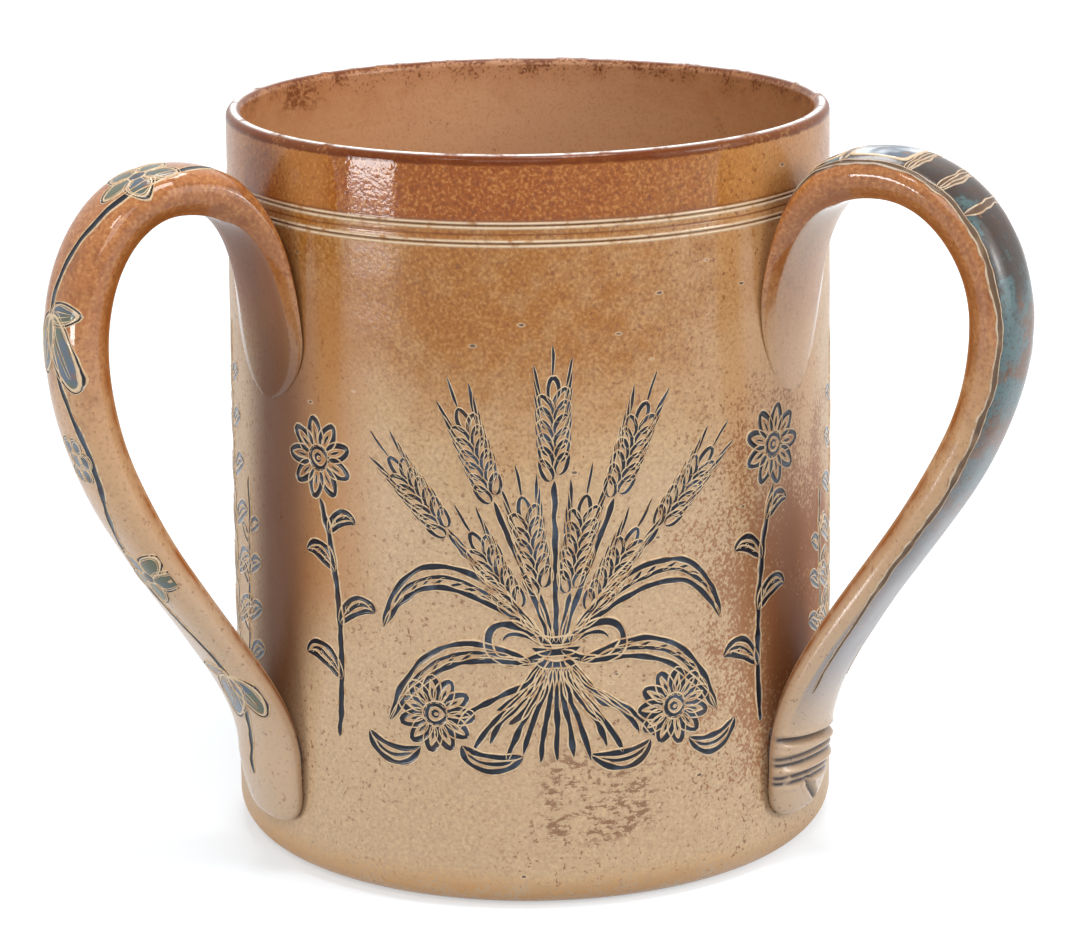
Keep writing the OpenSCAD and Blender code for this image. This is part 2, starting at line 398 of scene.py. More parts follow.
# Cup turned from one outline (radius, height), from the middle of the base round the lip to the middle of the floor
def makeCup(c):
    innerR = c["baseRadius"] - c["wall"]
    low, high = min(c["rings"]), max(c["rings"])
    between = (low + high) / 2
    footC = wallRadius(c["footRound"]) - c["footRound"]
    lipR = c["lip"] / 2
    z = np.concatenate([np.linspace(c["footRound"] + 1.5, low - 1.5, 44), low + np.linspace(-0.95, 0.95, 23),
                        between + np.linspace(-0.5, 0.5, 9), high + np.linspace(-0.95, 0.95, 23),
                        np.linspace(high + 1.4, c["height"] - lipR - 0.8, 8)])
    burrs = (-c["burrOut"], c["burrOut"])
    relief = -c["midDepth"] * bell(z, between, c["ringWide"])
    for ring in c["rings"]:
        relief += c["burr"] * sum(bell(z, ring + out, c["burrWide"]) for out in burrs)
        relief -= c["ringDepth"] * bell(z, ring, c["ringWide"])
    parts = [
        np.stack([np.linspace(0, footC, 8)[:-1], np.zeros(7)], -1),
        arcPoints(footC, c["footRound"], c["footRound"], -90, 0, 16),
        np.stack([wallRadius(z) + relief, z], -1),
        arcPoints(c["rimRadius"] - lipR, c["height"] - lipR, lipR, 0, 180, 24),
        mix(np.array([c["rimRadius"] - c["lip"], c["height"] - lipR]), np.array([innerR, c["floor"] + c["innerRound"]]),
            np.linspace(0, 1, 26)[1:-1, None]),
        arcPoints(innerR - c["innerRound"], c["floor"] + c["innerRound"], c["innerRound"], 0, -90, 14),
        np.stack([np.linspace(innerR - c["innerRound"], 0, 9)[1:], np.full(8, c["floor"])], -1),
    ]
    line = np.concatenate(parts)
    sizes = np.cumsum([len(p) for p in parts])
    count, rows = c["around"], len(line)
    a = np.linspace(0, 2 * np.pi, count, endpoint=False)
    r, height = line[:, :1], line[:, 1:]
    radius = r + wallSway(a, height) * ease(r / 50)
    lifted = height + c["rimWave"] * np.sin(2 * a + 2.1) * ease((height - 120) / 40)
    grid = np.stack([radius * np.cos(a), radius * np.sin(a), lifted], -1)
    points = np.concatenate([grid[1:-1].reshape(-1, 3), grid[[0, -1], 0]])
    rings = rows - 2
    quads = gridFaces(rings, count, closeCols=True)[:, ::-1]
    tris = np.concatenate([fanFaces(rings * count, 0, count, turned=True),
                           fanFaces(rings * count + 1, (rings - 1) * count, count)])

    # Shares of the finish, by place along the outline
    index, h = np.arange(rows), line[:, 1]
    outer = (index >= sizes[0]) & (index < sizes[2])
    within = np.where(index < sizes[2], 0.0, 1.0)
    roundLip = np.linspace(0, 180, 24)
    within[sizes[2]:sizes[3]] = ease((roundLip - 70) / 70)
    # Painted highlight along the crest of the lip, as a share by place round its curve
    paintedCrestHighlight = np.zeros(rows)
    paintedCrestHighlight[sizes[2]:sizes[3]] = np.minimum(1, 1.5 * bell(roundLip, 88, 18))
    lip = np.where(index < sizes[2], outer * ease((h - c["height"] + 1.7) / 0.9),
                   np.where(index < sizes[3], 1.0, 0.45 * ease((h - c["height"] + 6) / 5)))
    lip[sizes[2]:sizes[3]] = mix(1.0, 0.45, ease((roundLip - 110) / 60))
    shares = dict(
        within=within,
        ringPale=outer * sum(bell(h, ring + out, 0.27) for ring in c["rings"] for out in burrs),
        ringDark=outer * sum(bell(h, ring, 0.12) for ring in c["rings"]),
        ringBrown=outer * (bell(h, between, 0.2) + bell(h, high + 0.95, 0.3)),
        lip=lip,
        paintedCrestHighlight=paintedCrestHighlight,
    )
    attributes = {key: np.concatenate([np.repeat(share[1:-1], count), share[[0, -1]]]) for key, share in shares.items()}
    makePiece("stoneware_cup", points, quads, tris, attributes, cupMaterial(glaze), ("cup_body",))


makeCup(cup)


strap = dict(
    thick=9.6, archOut=22.5, rootWidth=28.0, archWidth=18.5, bellyWidth=17.5, tongueZ=104.0, tongueThick=0.15,
    footZ=24.5, tipZ=11.0, footWidth=24.0, footThick=6.2, tipThick=3.6, press=0.6, seat=0.04,
    pulls=dict(tongue=0.7, root=0.15, arch=0.56, drop=0.7, tip=1 / 3),
    crowd=1.5,             # how much closer the rows stand at both ends
    swell=0.75, swellPower=1.35, spreadStart=0.45, innerCorner=6.0, outerCorner=2.5, bevel=(1.0, 0.3, 0.74),
    tipCorner=3.5, tongueLift=0.05, hugNear=3.0, hugSpan=14.0,
    unevenWide=0.018, unevenThick=0.025, counts=(90, 60, 240, 120), around=104,
)
# Grooves across a foot: distance from the tip, slant, depth as a share, and from where to where across it
handles = dict(
    left=dict(angle=212.5, reach=49.0, archDrop=4.4, bellyDrop=40.0, fullness=0.44, taper=0.17, paintedShade=1.0, seed=11,
              grooves=()),
    right=dict(angle=327.5, reach=53.0, archDrop=2.6, bellyDrop=37.0, fullness=0.38, taper=0.3, paintedShade=0.0, seed=12,
               grooves=((17.8, -0.12, 0.6, -14, 14), (14.2, -0.04, 0.36, -14, 14), (12.7, -0.05, 0.3, -14, 14),
                        (9.7, -0.06, 0.36, -14, 14), (8.3, -0.07, 0.3, -14, 14), (5.6, -0.9, 0.5, -3.2, 6))),
    rear=dict(angle=90.0, reach=51.0, archDrop=5.0, bellyDrop=38.0, fullness=0.4, taper=0.25, paintedShade=0.5, seed=13,
              grooves=()),
)


def cubic(a, b, c, d, t):
    t = np.asarray(t)[:, None]
    return (1 - t) ** 3 * a + 3 * t * (1 - t) ** 2 * b + 3 * t * t * (1 - t) * c + t ** 3 * d


# Centre line of a handle (radius, height) with its headings, half widths and half thicknesses, in four joined curves:
# up the wall, over the arch, down and in, and down the wall. Length along it is measured from the tongue.
def strapLine(s, h):
    p = s["pulls"]
    topZ, bellyZ = cup["height"] - h["archDrop"] - s["thick"] / 2, cup["height"] - h["bellyDrop"]
    tongue = wallRadius(s["tongueZ"]) + s["tongueLift"], s["tongueZ"]
    top = wallRadius(topZ) + s["archOut"], topZ
    belly = wallRadius(bellyZ) + h["reach"] - s["thick"] / 2, bellyZ
    foot = wallRadius(s["footZ"]) + s["footThick"] / 2 - s["press"], s["footZ"]
    tip = wallRadius(s["tipZ"]) + s["tipThick"] / 2 - s["press"], s["tipZ"]
    spans = [
        (tongue, (tongue[0], mix(tongue[1], top[1], p["tongue"])), (mix(tongue[0], top[0], p["root"]), top[1]), top),
        (top, (mix(top[0], belly[0], p["arch"]), top[1]), (belly[0], mix(belly[1], top[1], p["arch"])), belly),
        (belly, (belly[0], mix(belly[1], foot[1], h["fullness"])),
         (foot[0], mix(foot[1], belly[1], p["drop"] - h["fullness"])), foot),
        (foot, (foot[0], mix(foot[1], tip[1], p["tip"])), (tip[0], mix(tip[1], foot[1], p["tip"])), tip),
    ]
    places, wide, thick = [], [], []
    for k, (span, count) in enumerate(zip(spans, s["counts"])):
        t = np.linspace(0, 1, count, endpoint=k == 3)
        t = t ** s["crowd"] if k == 0 else 1 - (1 - t) ** s["crowd"] if k == 3 else t
        places.append(cubic(*span, t))
        if k == 0:
            start = np.clip(t / h["taper"], 0.02, 1)
            wide.append(mix(s["rootWidth"], s["archWidth"], ease(t)) * np.sqrt(1 - (1 - start) ** 2))
            thick.append(mix(s["tongueThick"], s["thick"], np.clip(t / s["swell"], 0, 1) ** s["swellPower"]))
        elif k == 1:
            wide.append(mix(s["archWidth"], s["bellyWidth"], ease(t)))
            thick.append(np.full(count, s["thick"]))
        elif k == 2:
            wide.append(mix(s["bellyWidth"], s["footWidth"], ease((t - s["spreadStart"]) / (1 - s["spreadStart"]))))
            thick.append(mix(s["thick"], s["footThick"], t))
        else:
            corner = s["tipCorner"]
            wide.append(s["footWidth"] * (1 - np.minimum(t, 0.9996) ** corner) ** (1 / corner))
            thick.append(mix(s["footThick"], s["tipThick"], t) * (1 - np.minimum(t, 0.9999) ** 9) ** (1 / 5))
    place = np.concatenate(places)
    head = unit(np.gradient(place, axis=0))
    length = lengthAlong(place)
    free = ease((place[:, 0] - wallRadius(place[:, 1]) - 4) / 16)
    wide = np.concatenate(wide) * (1 + s["unevenWide"] * unevenness(length, 40, h["seed"]) * free)
    thick = np.concatenate(thick) * (1 + s["unevenThick"] * unevenness(length, 32, h["seed"] + 20) * free)
    return dict(place=place, head=head, length=length, halfWide=wide / 2, halfThick=thick / 2,
                first=s["counts"][0], last=length[-1])


# Points on a handle, in its own upright plane: across and depth are measured from the centre line, and near the wall
# the section bends round it. The plane is then turned to the handle's angle about the axis of the cup.
def strapPoints(s, h, place, head, across, depth):
    r = place[..., 0] + head[..., 1] * depth
    z = place[..., 1] - head[..., 0] * depth
    hug = 1 - ease((place[..., 0] - wallRadius(place[..., 1]) - s["hugNear"]) / s["hugSpan"])
    r = mix(r, np.sqrt(np.maximum(r * r - across ** 2, 1)), hug)
    a = np.radians(h["angle"])
    return np.stack([r * np.cos(a) - across * np.sin(a), r * np.sin(a) + across * np.cos(a), z], -1)


# Radius of the cup's own wall under some points
def wallUnder(points):
    return wallRadius(points[..., 2]) + wallSway(np.arctan2(points[..., 1], points[..., 0]), points[..., 2])


# How far points stand off the wall of the cup
def offWall(points):
    return np.hypot(points[..., 0], points[..., 1]) - wallUnder(points)


# Moves points that are inside the wall out to its face
def seatOnWall(points, seat):
    scale = np.maximum(1, (wallUnder(points) + seat) / np.hypot(points[..., 0], points[..., 1]))
    return points * np.stack([scale, scale, np.ones_like(scale)], -1)


handleGlaze = dict(
    top=tone(168, 106, 58), middle=tone(190, 148, 106), low=tone(190, 160, 130), inner=tone(204, 173, 142),
    paintedShade=tone(138, 86, 52), dark=tone(104, 50, 22), pale=tone(208, 156, 100), edge=tone(148, 84, 36),
    pool=tone(34, 40, 52), stripTop=tone(54, 36, 28), stripBlue=tone(78, 100, 102), stripBrown=tone(104, 68, 42),
    stripLow=tone(150, 142, 142), drift=40.0, cloud=190.0, grain=1150.0, skinDepth=0.00002, mirror=0.42,
)


# Glaze of a handle: brown over the arch and paler below, pinkish towards the fingers or, at the root, darker brown of
# painted shade, a brown flush along the inner edges, dark glaze in the grooves, and where the strip attribute says so a
# mottled blue-green glaze that turns grey towards the foot
def handleMaterial(name, g):
    material, tree = newMaterial(name)
    place, xyz, z = objectPlace(tree)
    drift = noise(place, g["drift"], 3.0)
    cloud = noise(place, g["cloud"], 3.0, 0.6)
    grain = noise(place, g["grain"], 1.0)
    hollow, crown = fall(grain, 0.32, 0.48), rise(grain, 0.52, 0.68)
    high = rise(z, 60.0, 150.0)
    drifted = z + (drift - 0.5) * 50.0
    paintedShade = attribute(tree, "paintedShade")
    blotch = noise(place, 95.0, 4.0, 0.65)
    strip = coats(
        g["stripBlue"],
        (rise(blotch, 0.46, 0.6), g["stripBrown"]),
        (rise(drifted, 122.0, 140.0) * rise(blotch, 0.36, 0.46) * 0.85, g["stripTop"]),
        (hollow * 0.5, g["stripTop"]),
        (fall(drifted, 66.0, 104.0, 0.9), g["stripLow"]))
    wash = attribute(tree, "strip") * rise(noise(place, 560.0, 2.0, 0.6), 0.1, 0.35)
    pooled = attribute(tree, "groove") * rise(cloud + drift * 0.5, 0.42, 0.66, 0.95)
    stops = [(0.05, g["low"]), (0.35, g["low"]), (0.62, g["middle"]), (0.84, g["top"]), (1.0, g["top"])]
    colour = coats(
        ramp(calc("DIVIDE", drifted, cup["height"]), stops),
        (hollow * (0.08 + high * 0.26), g["dark"]),
        (crown * (0.12 + high * 0.2), g["pale"]),
        (rise(cloud, 0.5, 0.7) * high * 0.4, g["dark"]),
        (rise(noise(place, 900.0, 1.0), 0.66, 0.72, 0.4), g["dark"]),
        (attribute(tree, "edge") * rise(cloud + drift * 0.6, 0.5, 0.9), g["edge"]),
        (attribute(tree, "innerSide") * 0.8, g["inner"]),
        # Painted shade: the root darker brown on the side towards the fingers, as much as each handle asks for
        (paintedShade, g["paintedShade"]),
        (attribute(tree, "melt"), toasted(glaze, place, xyz, z)["colour"]),
        (wash, strip),
        (pooled, g["pool"]))
    rough = 0.13 + cloud * 0.12 - high * 0.13 + wash * 0.14 + paintedShade * 0.2
    dry = paintedShade * 0.34 + pooled * 0.3
    finishMaterial(colour, rough, grain + cloud * 2.5, g["skinDepth"], g["mirror"] - dry)
    return material


# Handle: a section that is square towards the fingers, with a bevel at each corner, and rounder at the back, carried
# along the centre line. Across it follows a cosine and through it a sine, each raised to a power that squares the
# corners; a straight line from the side to the inner face then cuts the bevel.
def makeHandle(side, s, h, material, strip):
    line = strapLine(s, h)
    angle = np.linspace(0, 2 * np.pi, s["around"], endpoint=False)
    c, n = np.cos(angle), np.sin(angle)
    power = 2 / np.where(n > 0, s["innerCorner"], s["outerCorner"])
    unitAcross = np.sign(c) * np.abs(c) ** power
    unitDepth = np.sign(n) * np.abs(n) ** power
    side1, depth1, side2 = s["bevel"]
    beyond = (np.abs(unitAcross) * (1 - depth1) + unitDepth * (side1 - side2)) / (side1 - side2 * depth1)
    within = np.where(n > 0, 1 / np.maximum(beyond, 1), 1)
    unitAcross, unitDepth = unitAcross * within, unitDepth * within
    across = line["halfWide"][:, None] * unitAcross
    depth = line["halfThick"][:, None] * unitDepth
    back = ease((0.25 - unitDepth) / 0.6)[None, :]
    groove = np.zeros(across.shape)
    for fromTip, slant, sink, low, high in h["grooves"]:
        run = (line["last"] - line["length"][:, None] - fromTip - slant * across) / np.hypot(1, slant)
        reach = ease((across - low) / 1.5) * ease((high - across) / 1.5) * back
        wide = 0.45 + 0.5 * sink
        depth = depth * (1 - reach * (sink * bell(run, 0, wide) - 0.12 * (bell(run, -1.4, 0.6) + bell(run, 1.4, 0.6))))
        groove = np.maximum(groove, reach * bell(run, 0, wide * 0.85))
    raw = strapPoints(s, h, line["place"][:, None], line["head"][:, None], across, depth)
    grid = seatOnWall(raw, s["seat"])
    rows, count = across.shape
    points = np.concatenate([grid.reshape(-1, 3), grid[[0, -1]].mean(1)])
    quads = gridFaces(rows, count, closeCols=True)
    tris = np.concatenate([fanFaces(rows * count, 0, count),
                           fanFaces(rows * count + 1, (rows - 1) * count, count, turned=True)])

    # Shares of the finish: the side towards the fingers with painted shade at its root, and two edges, the grooves,
    # where the tongue melts into the wall, and the glazed strip down the back
    degrees = np.degrees(angle)
    started = ease((line["length"] - 6) / 42)[:, None]
    share = line["length"] / line["last"]
    run = ease((share - strip[0]) / 0.03) * ease((strip[1] - share) / 0.12)
    shares = dict(
        innerSide=ease((unitDepth - 0.93) / 0.07)[None, :] * started,
        # Painted shade at the root, on the side towards the fingers, fading out along the strap
        paintedShade=h["paintedShade"] * ease((unitDepth - 0.9) / 0.1)[None, :] * (1 - ease((share - 0.2) / 0.12))[:, None],
        edge=(bell(degrees, 36, 22) + bell(degrees, 144, 22))[None, :] * started,
        groove=groove,
        melt=1 - ease((line["length"][:, None] - 5) / 24),
        strip=ease((0.93 - np.abs(unitAcross)) / 0.06)[None, :] * (unitDepth < 0) * run[:, None] * strip[2],
    )
    attributes = {key: np.concatenate([np.broadcast_to(v, across.shape).ravel(), [0, 0]]) for key, v in shares.items()}
    makePiece(side + "_strap", points, quads, tris, attributes, material, (side + "_handle",))
    return dict(line=line, raw=raw)


clayStrap = handleMaterial("salt_glazed_strap", handleGlaze)
stripRuns = dict(left=(0.3, 0.95, 0.0), right=(0.17, 0.93, 1.0), rear=(0.3, 0.95, 0.0))  # start, end, strength
straps = {side: makeHandle(side, strap, h, clayStrap, stripRuns[side]) for side, h in handles.items()}


slipGlaze = dict(brown=tone(56, 36, 26), pale=tone(206, 182, 152), clay=tone(150, 100, 62))


# Slip at a joint: dark brown in the crease, partly painted shade of the crease, with pale crumbs, and the colour of
# the wall where it runs out
def slipAndShadeMaterial(g):
    material, tree = newMaterial("slip_with_crease_shade")
    place, xyz, z = objectPlace(tree)
    crumbs = noise(place, 620.0, 3.0, 0.65)
    clay = rise(noise(place, 150.0, 3.0, 0.6), 0.55, 0.7)
    slip = coats(g["brown"], (clay, g["clay"]), (rise(crumbs, 0.6, 0.66), g["pale"]))
    colour = blend(attribute(tree, "deep"), toasted(glaze, place, xyz, z)["colour"], slip)
    finishMaterial(colour, 0.3, crumbs, 0.0003)
    return material


# lead is how many rows above the foot the lower bead may start, and touch how far off the wall it lies
bead = dict(radius=0.42, uneven=0.5, around=10, spacing=0.6, touch=0.05, lead=96)


# Where the strap's skin goes into the wall on one flank: between the last point inside and the first outside,
# in proportion to how far each stands off; with it comes the strap's thickness there
def flankLine(built, columns, rows):
    picked = built["raw"][rows][:, columns]
    off = offWall(picked) - bead["touch"]
    inside = off < 0
    last = inside.shape[1] - 1 - np.argmax(inside[:, ::-1], 1)
    row = np.nonzero(inside.any(1) & (last < inside.shape[1] - 1))[0]
    last = last[row]
    a, b = off[row, last], off[row, last + 1]
    flank = mix(picked[row, last], picked[row, last + 1], (a / (a - b))[:, None])
    return np.concatenate([flank, 2 * built["line"]["halfThick"][rows][row, None]], 1)


# Even points along a closed line of points, with whatever else they carry
def evenLoop(points, spacing):
    closed = np.concatenate([points, points[:1]])
    length = lengthAlong(closed[:, :3])
    at = np.linspace(0, length[-1], max(24, int(length[-1] / spacing)), endpoint=False)
    return np.stack([np.interp(at, length, column) for column in closed.T], -1), at


# Bead of slip: an uneven tube round the line where the strap meets the wall
def makeBead(name, node, b, built, rows, columns, seed, material):
    flankA, flankB = (flankLine(built, side, rows) for side in columns)
    loop, at = evenLoop(np.concatenate([flankA, flankB[::-1]]), b["spacing"])
    for again in range(2):
        loop = (np.roll(loop, 1, 0) + 2 * loop + np.roll(loop, -1, 0)) / 4
    loop, thick = seatOnWall(loop[:, :3], 0.02), loop[:, 3]
    ahead = unit(np.roll(loop, -1, 0) - np.roll(loop, 1, 0))
    side = unit(np.cross(ahead, unit(loop * [1, 1, 0])))
    out = np.cross(side, ahead)
    lumps = 1 + b["uneven"] * unevenness(at, 3.0, seed) + np.random.default_rng(seed).normal(0, 0.12, len(at))
    radius = b["radius"] * np.clip(lumps, 0.35, 1.9) * np.clip(thick / 3.5, 0.12, 1)
    a = np.linspace(0, 2 * np.pi, b["around"], endpoint=False)
    turn = np.cos(a)[None, :, None] * out[:, None] + np.sin(a)[None, :, None] * side[:, None]
    grid = loop[:, None] + radius[:, None, None] * turn
    quads = gridFaces(len(loop), len(a), closeRows=True, closeCols=True)[:, ::-1]
    # Darker where the strap is thicker and the crease deeper: painted shade of the crease
    deep = np.repeat(ease((thick - 1.2) / 2.2), len(a))
    makePiece(name, grid.reshape(-1, 3), quads, None, dict(deep=deep), material, (node,))


slipWithCreaseShade = slipAndShadeMaterial(slipGlaze)
quarter = strap["around"] // 4
backToFront = [np.arange(-quarter, quarter + 1) % strap["around"], np.arange(3 * quarter, quarter - 1, -1)]
frontToBack = [columns[::-1] for columns in backToFront]
for side, built in straps.items():
    footRows = slice(len(built["raw"]) - strap["counts"][3] - bead["lead"], None)
    seed = handles[side]["seed"]
    makeBead(side + "_upper_slip", side + "_upper_luting", bead, built, slice(0, built["line"]["first"]), backToFront,
             seed + 40, slipWithCreaseShade)
    makeBead(side + "_lower_slip", side + "_lower_luting", bead, built, footRows, frontToBack, seed + 50, slipWithCreaseShade)


cut = dict(
    across=np.array([-1, -0.82, -0.66, -0.5, 0, 0.5, 0.66, 0.82, 1, 0.6, -0.6]),             # shares of the half width
    height=np.array([-0.06, 0.17, 0.15, 0.03, 0.015, 0.03, 0.15, 0.17, -0.06, -0.4, -0.4]),  # mm off the surface
    core=np.array([0, 0, 0.3, 1, 1, 1, 0.3, 0, 0, 0, 0]),                                    # share of glaze
    step=0.6, sway=0.12, uneven=0.24,
    main=1.15, middle=0.9, fine=0.62, edge=0.527, scratch=0.496, hair=0.4464,                # half widths in mm
)


# Incised lines: along each drawn line goes a closed section with a burr of clay each side of a groove full of glaze.
# The section shrinks to nothing at both ends, and the line and its width wander a little.
def makeLines(name, strokes, place, seed, material):
    points, quads, core, start = [], [], [], 0
    rng = np.random.default_rng(seed)
    for line, kind in strokes:
        length = lengthAlong(line)
        count = max(7, int(length[-1] / cut["step"]))
        at = np.linspace(0, length[-1], count)
        x, y = np.interp(at, length, line[:, 0]), np.interp(at, length, line[:, 1])
        head = np.stack([np.gradient(x), np.gradient(y)], -1)
        head /= np.linalg.norm(head, axis=1, keepdims=True) + 1e-9
        ends = min(2.2, length[-1] * 0.35)
        taper = np.sqrt(np.clip(at / ends, 0.003, 1)) * np.sqrt(np.clip((length[-1] - at) / ends, 0.003, 1))
        sway = cut["sway"] * taper * unevenness(at, 8, int(rng.integers(1 << 30)))
        x, y = x - head[:, 1] * sway, y + head[:, 0] * sway
        wide = cut[kind] * taper * (1 + cut["uneven"] * unevenness(at, 6, int(rng.integers(1 << 30))))
        off = wide[:, None] * cut["across"]
        lift = cut["height"] * np.where(cut["height"] > 0, taper[:, None] ** 0.5, 1)
        points.append(place(x[:, None] - head[:, 1:] * off, y[:, None] + head[:, :1] * off, lift).reshape(-1, 3))
        quads.append(gridFaces(count, len(cut["across"]), closeCols=True, start=start))
        core.append(np.broadcast_to(cut["core"], off.shape).ravel() * rng.uniform(0.85, 1.0))
        start += off.size
    makePiece(name, np.concatenate(points), np.concatenate(quads), None, dict(core=np.concatenate(core)), material)


pad = dict(
    share=np.array([0.45, 0.75, 0.86, 0.95, 1.04, 0.9]),       # of the way from the middle to the outline
    height=np.array([0.1, 0.09, 0.07, 0.2, -0.06, -0.45]),     # mm off the surface
    core=np.array([1, 1, 0.9, 0, 0, 0]),
)


# Pools of glaze inside closed outlines: from the middle of each the surface runs out level, over a burr and down
def makePools(name, outlines, place, material):
    points, quads, tris, core, start = [], [], [], [], 0
    for outline in outlines:
        ring, count, rows = outline[:-1], len(outline) - 1, len(pad["share"])
        middle = ring.mean(0)
        xy = middle + pad["share"][:, None, None] * (ring - middle)
        grid = place(xy[..., 0], xy[..., 1], pad["height"][:, None])
        poles = place(np.full(2, middle[0]), np.full(2, middle[1]), pad["height"][[0, -1]])
        points += [grid.reshape(-1, 3), poles]
        quads.append(gridFaces(rows, count, closeCols=True, start=start))
        tris += [fanFaces(start + rows * count, start, count),
                 fanFaces(start + rows * count + 1, start + (rows - 1) * count, count, turned=True)]
        core += [np.repeat(pad["core"], count), [1, 0]]
        start += rows * count + 2
    makePiece(name, np.concatenate(points), np.concatenate(quads), np.concatenate(tris),
              dict(core=np.concatenate(core)), material)


lineGlaze = dict(burr=tone(210, 182, 146), pool=tone(22, 26, 36), thin=tone(66, 76, 90), brown=tone(66, 46, 36))
clayLine = dict(burr=tone(196, 174, 148), pool=tone(98, 76, 58), thin=tone(134, 106, 80), brown=tone(70, 52, 42))
poolGlaze = dict(blue=tone(78, 92, 108), green=tone(86, 92, 74), brown=tone(128, 84, 50), sky=tone(206, 214, 222))


# Glaze in the grooves and bare pale clay on their burrs
def lineMaterial(name, g):
    material, tree = newMaterial(name)
    place = objectPlace(tree)[0]
    patchy = noise(place, 130.0, 3.0, 0.6)
    stained = rise(noise(place, 90.0), 0.56, 0.7, 0.5)
    glazed = coats(g["pool"], (rise(patchy, 0.5, 0.66, 0.75), g["thin"]), (stained, g["brown"]))
    burr = blend(rise(noise(place, 500.0, 2.0, 0.6), 0.45, 0.65, 0.5), g["burr"], glaze["shoulder"])
    colour = blend(rise(attribute(tree, "core"), 0.25, 0.75), burr, glazed)
    finishMaterial(colour, 0.2, patchy, 0.0001, 0.25)
    return material


# Thin coloured glaze pooled in leaves and flowers, brown where it is thin
def poolMaterial(name, g, first, second):
    material, tree = newMaterial(name)
    place = objectPlace(tree)[0]
    cloud = noise(place, 230.0, 3.0, 0.6)
    changed = rise(noise(place, 110.0), 0.42, 0.58)
    glazed = coats(first, (changed, second), (rise(cloud, 0.54, 0.7, 0.75), g["brown"]))
    colour = blend(rise(attribute(tree, "core"), 0.3, 0.8), lineGlaze["burr"], glazed)
    finishMaterial(colour, 0.14, cloud, 0.00012)
    return material


# Direction of an angle from upright, in degrees, and the direction to its right
def heading(angle):
    a = np.radians(angle)
    return np.array([np.sin(a), np.cos(a)]), np.array([np.cos(a), -np.sin(a)])


def bend(a, b, c, d, count=30):
    return cubic(a, b, c, d, np.linspace(0, 1, count))


# Closed almond: along its heading it goes out and back by a cosine, and across it swells by a sine
def almond(base, angle, length, width, count=22):
    along, beside = heading(angle)
    s = np.linspace(0, 2 * np.pi, count)
    return (np.asarray(base) + np.outer(length * (1 - np.cos(s)) / 2, along)
            - np.outer(width / 2 * np.sin(s) * (1 + 0.2 * np.cos(s)), beside))


def ring(centre, radius, count=20):
    s = np.linspace(0, 2 * np.pi, count)
    return np.asarray(centre) + radius * np.stack([np.cos(s), np.sin(s)], -1)


# Blade of a leaf: a bent spine, two edges that bulge from it by a sine, and short hatching towards one edge
def blade(a, b, c, d, width, hatch=0):
    spine = bend(a, b, c, d, 36)
    step = unit(np.gradient(spine, axis=0))
    beside = np.stack([-step[:, 1], step[:, 0]], -1)
    bulge = (width / 2 * np.sin(np.pi * np.linspace(0, 1, 36)) ** 0.8)[:, None] * beside
    strokes = [(spine + bulge, "middle"), (spine - bulge, "middle"), (spine[3:-4], "fine")]
    for k in np.linspace(8, 28, hatch).astype(int) if hatch else []:
        strokes.append((np.stack([spine[k], spine[k + 3] + 0.75 * bulge[k + 3]]), "scratch"))
    return strokes


# Leaf on one side of a stem: its spine goes out by its reach and up by three shares of it
def sideLeaf(root, turn, reach, heights, width, hatch=0):
    spine = [root + [turn * reach * out, reach * up] for out, up in zip((0.3, 0.7, 1), heights)]
    return blade(root, *spine, reach * width, hatch)


# Ear of wheat: pairs of almond grains up its heading, each with a short beard, and one grain at the top
def wheatEar(base, angle, length, grainCount):
    along, beside = heading(angle)
    pitch = length / (grainCount + 1)
    strokes = []
    for k in range(grainCount):
        for turn in (-1, 1):
            root = np.asarray(base) + along * pitch * (k + 0.25 * (turn + 1)) + beside * turn * 0.7
            strokes.append((almond(root, angle + 24 * turn, pitch * 1.75, pitch * 0.8), "fine"))
            tip = root + heading(angle + 24 * turn)[0] * pitch * 1.75
            end = tip + heading(angle + 12 * turn)[0] * (4.5 + 2.5 * k / grainCount)
            strokes.append((np.stack([tip, end]), "hair"))
    top = np.asarray(base) + along * pitch * grainCount
    strokes.append((almond(top, angle, pitch * 1.9, pitch * 0.85), "fine"))
    strokes.append((np.stack([top + along * pitch * 1.9, top + along * (pitch * 1.9 + 7)]), "hair"))
    return strokes


# Daisy: a ring and a dot, with almond petals round them and a short line in each
def daisy(centre, radius, petals, turn):
    centre = np.asarray(centre)
    strokes = [(ring(centre, radius * 0.27), "middle"), (ring(centre, radius * 0.1, 10), "fine")]
    for angle in turn + np.arange(petals) * 360 / petals:
        along = heading(angle)[0]
        strokes.append((almond(centre + along * radius * 0.3, angle, radius * 0.7, radius * 0.36), "middle"))
        strokes.append((np.stack([centre + along * radius * 0.42, centre + along * radius * 0.72]), "scratch"))
    return strokes


# Tall leafy stem: a bent line with pairs of leaves that grow smaller upwards
def leafyStem(base, top, sway, pairs, size):
    base, top = np.array(base, float), np.array(top, float)
    spine = bend(base, mix(base, top, 0.35) + [sway, 0], mix(base, top, 0.7) - [sway, 0], top, 40)
    strokes = [(spine, "middle")]
    for k in range(pairs):
        at = spine[int(6 + k * 30 / pairs)]
        reach = size * (1 - 0.5 * k / pairs)
        for turn in (-1, 1):
            strokes += sideLeaf(at + [0, 1.5 * turn], turn, reach, (0.35, 0.6, 0.55), 0.34)
    return strokes


sheaf = dict(tie=(0.0, 57.0), ears=4, fan=44.0, spread=(0.65, 0.86), reach=(14.0, 36.0), earLength=19.0, grains=6,
             stalks=13, stalkEnd=33.0)


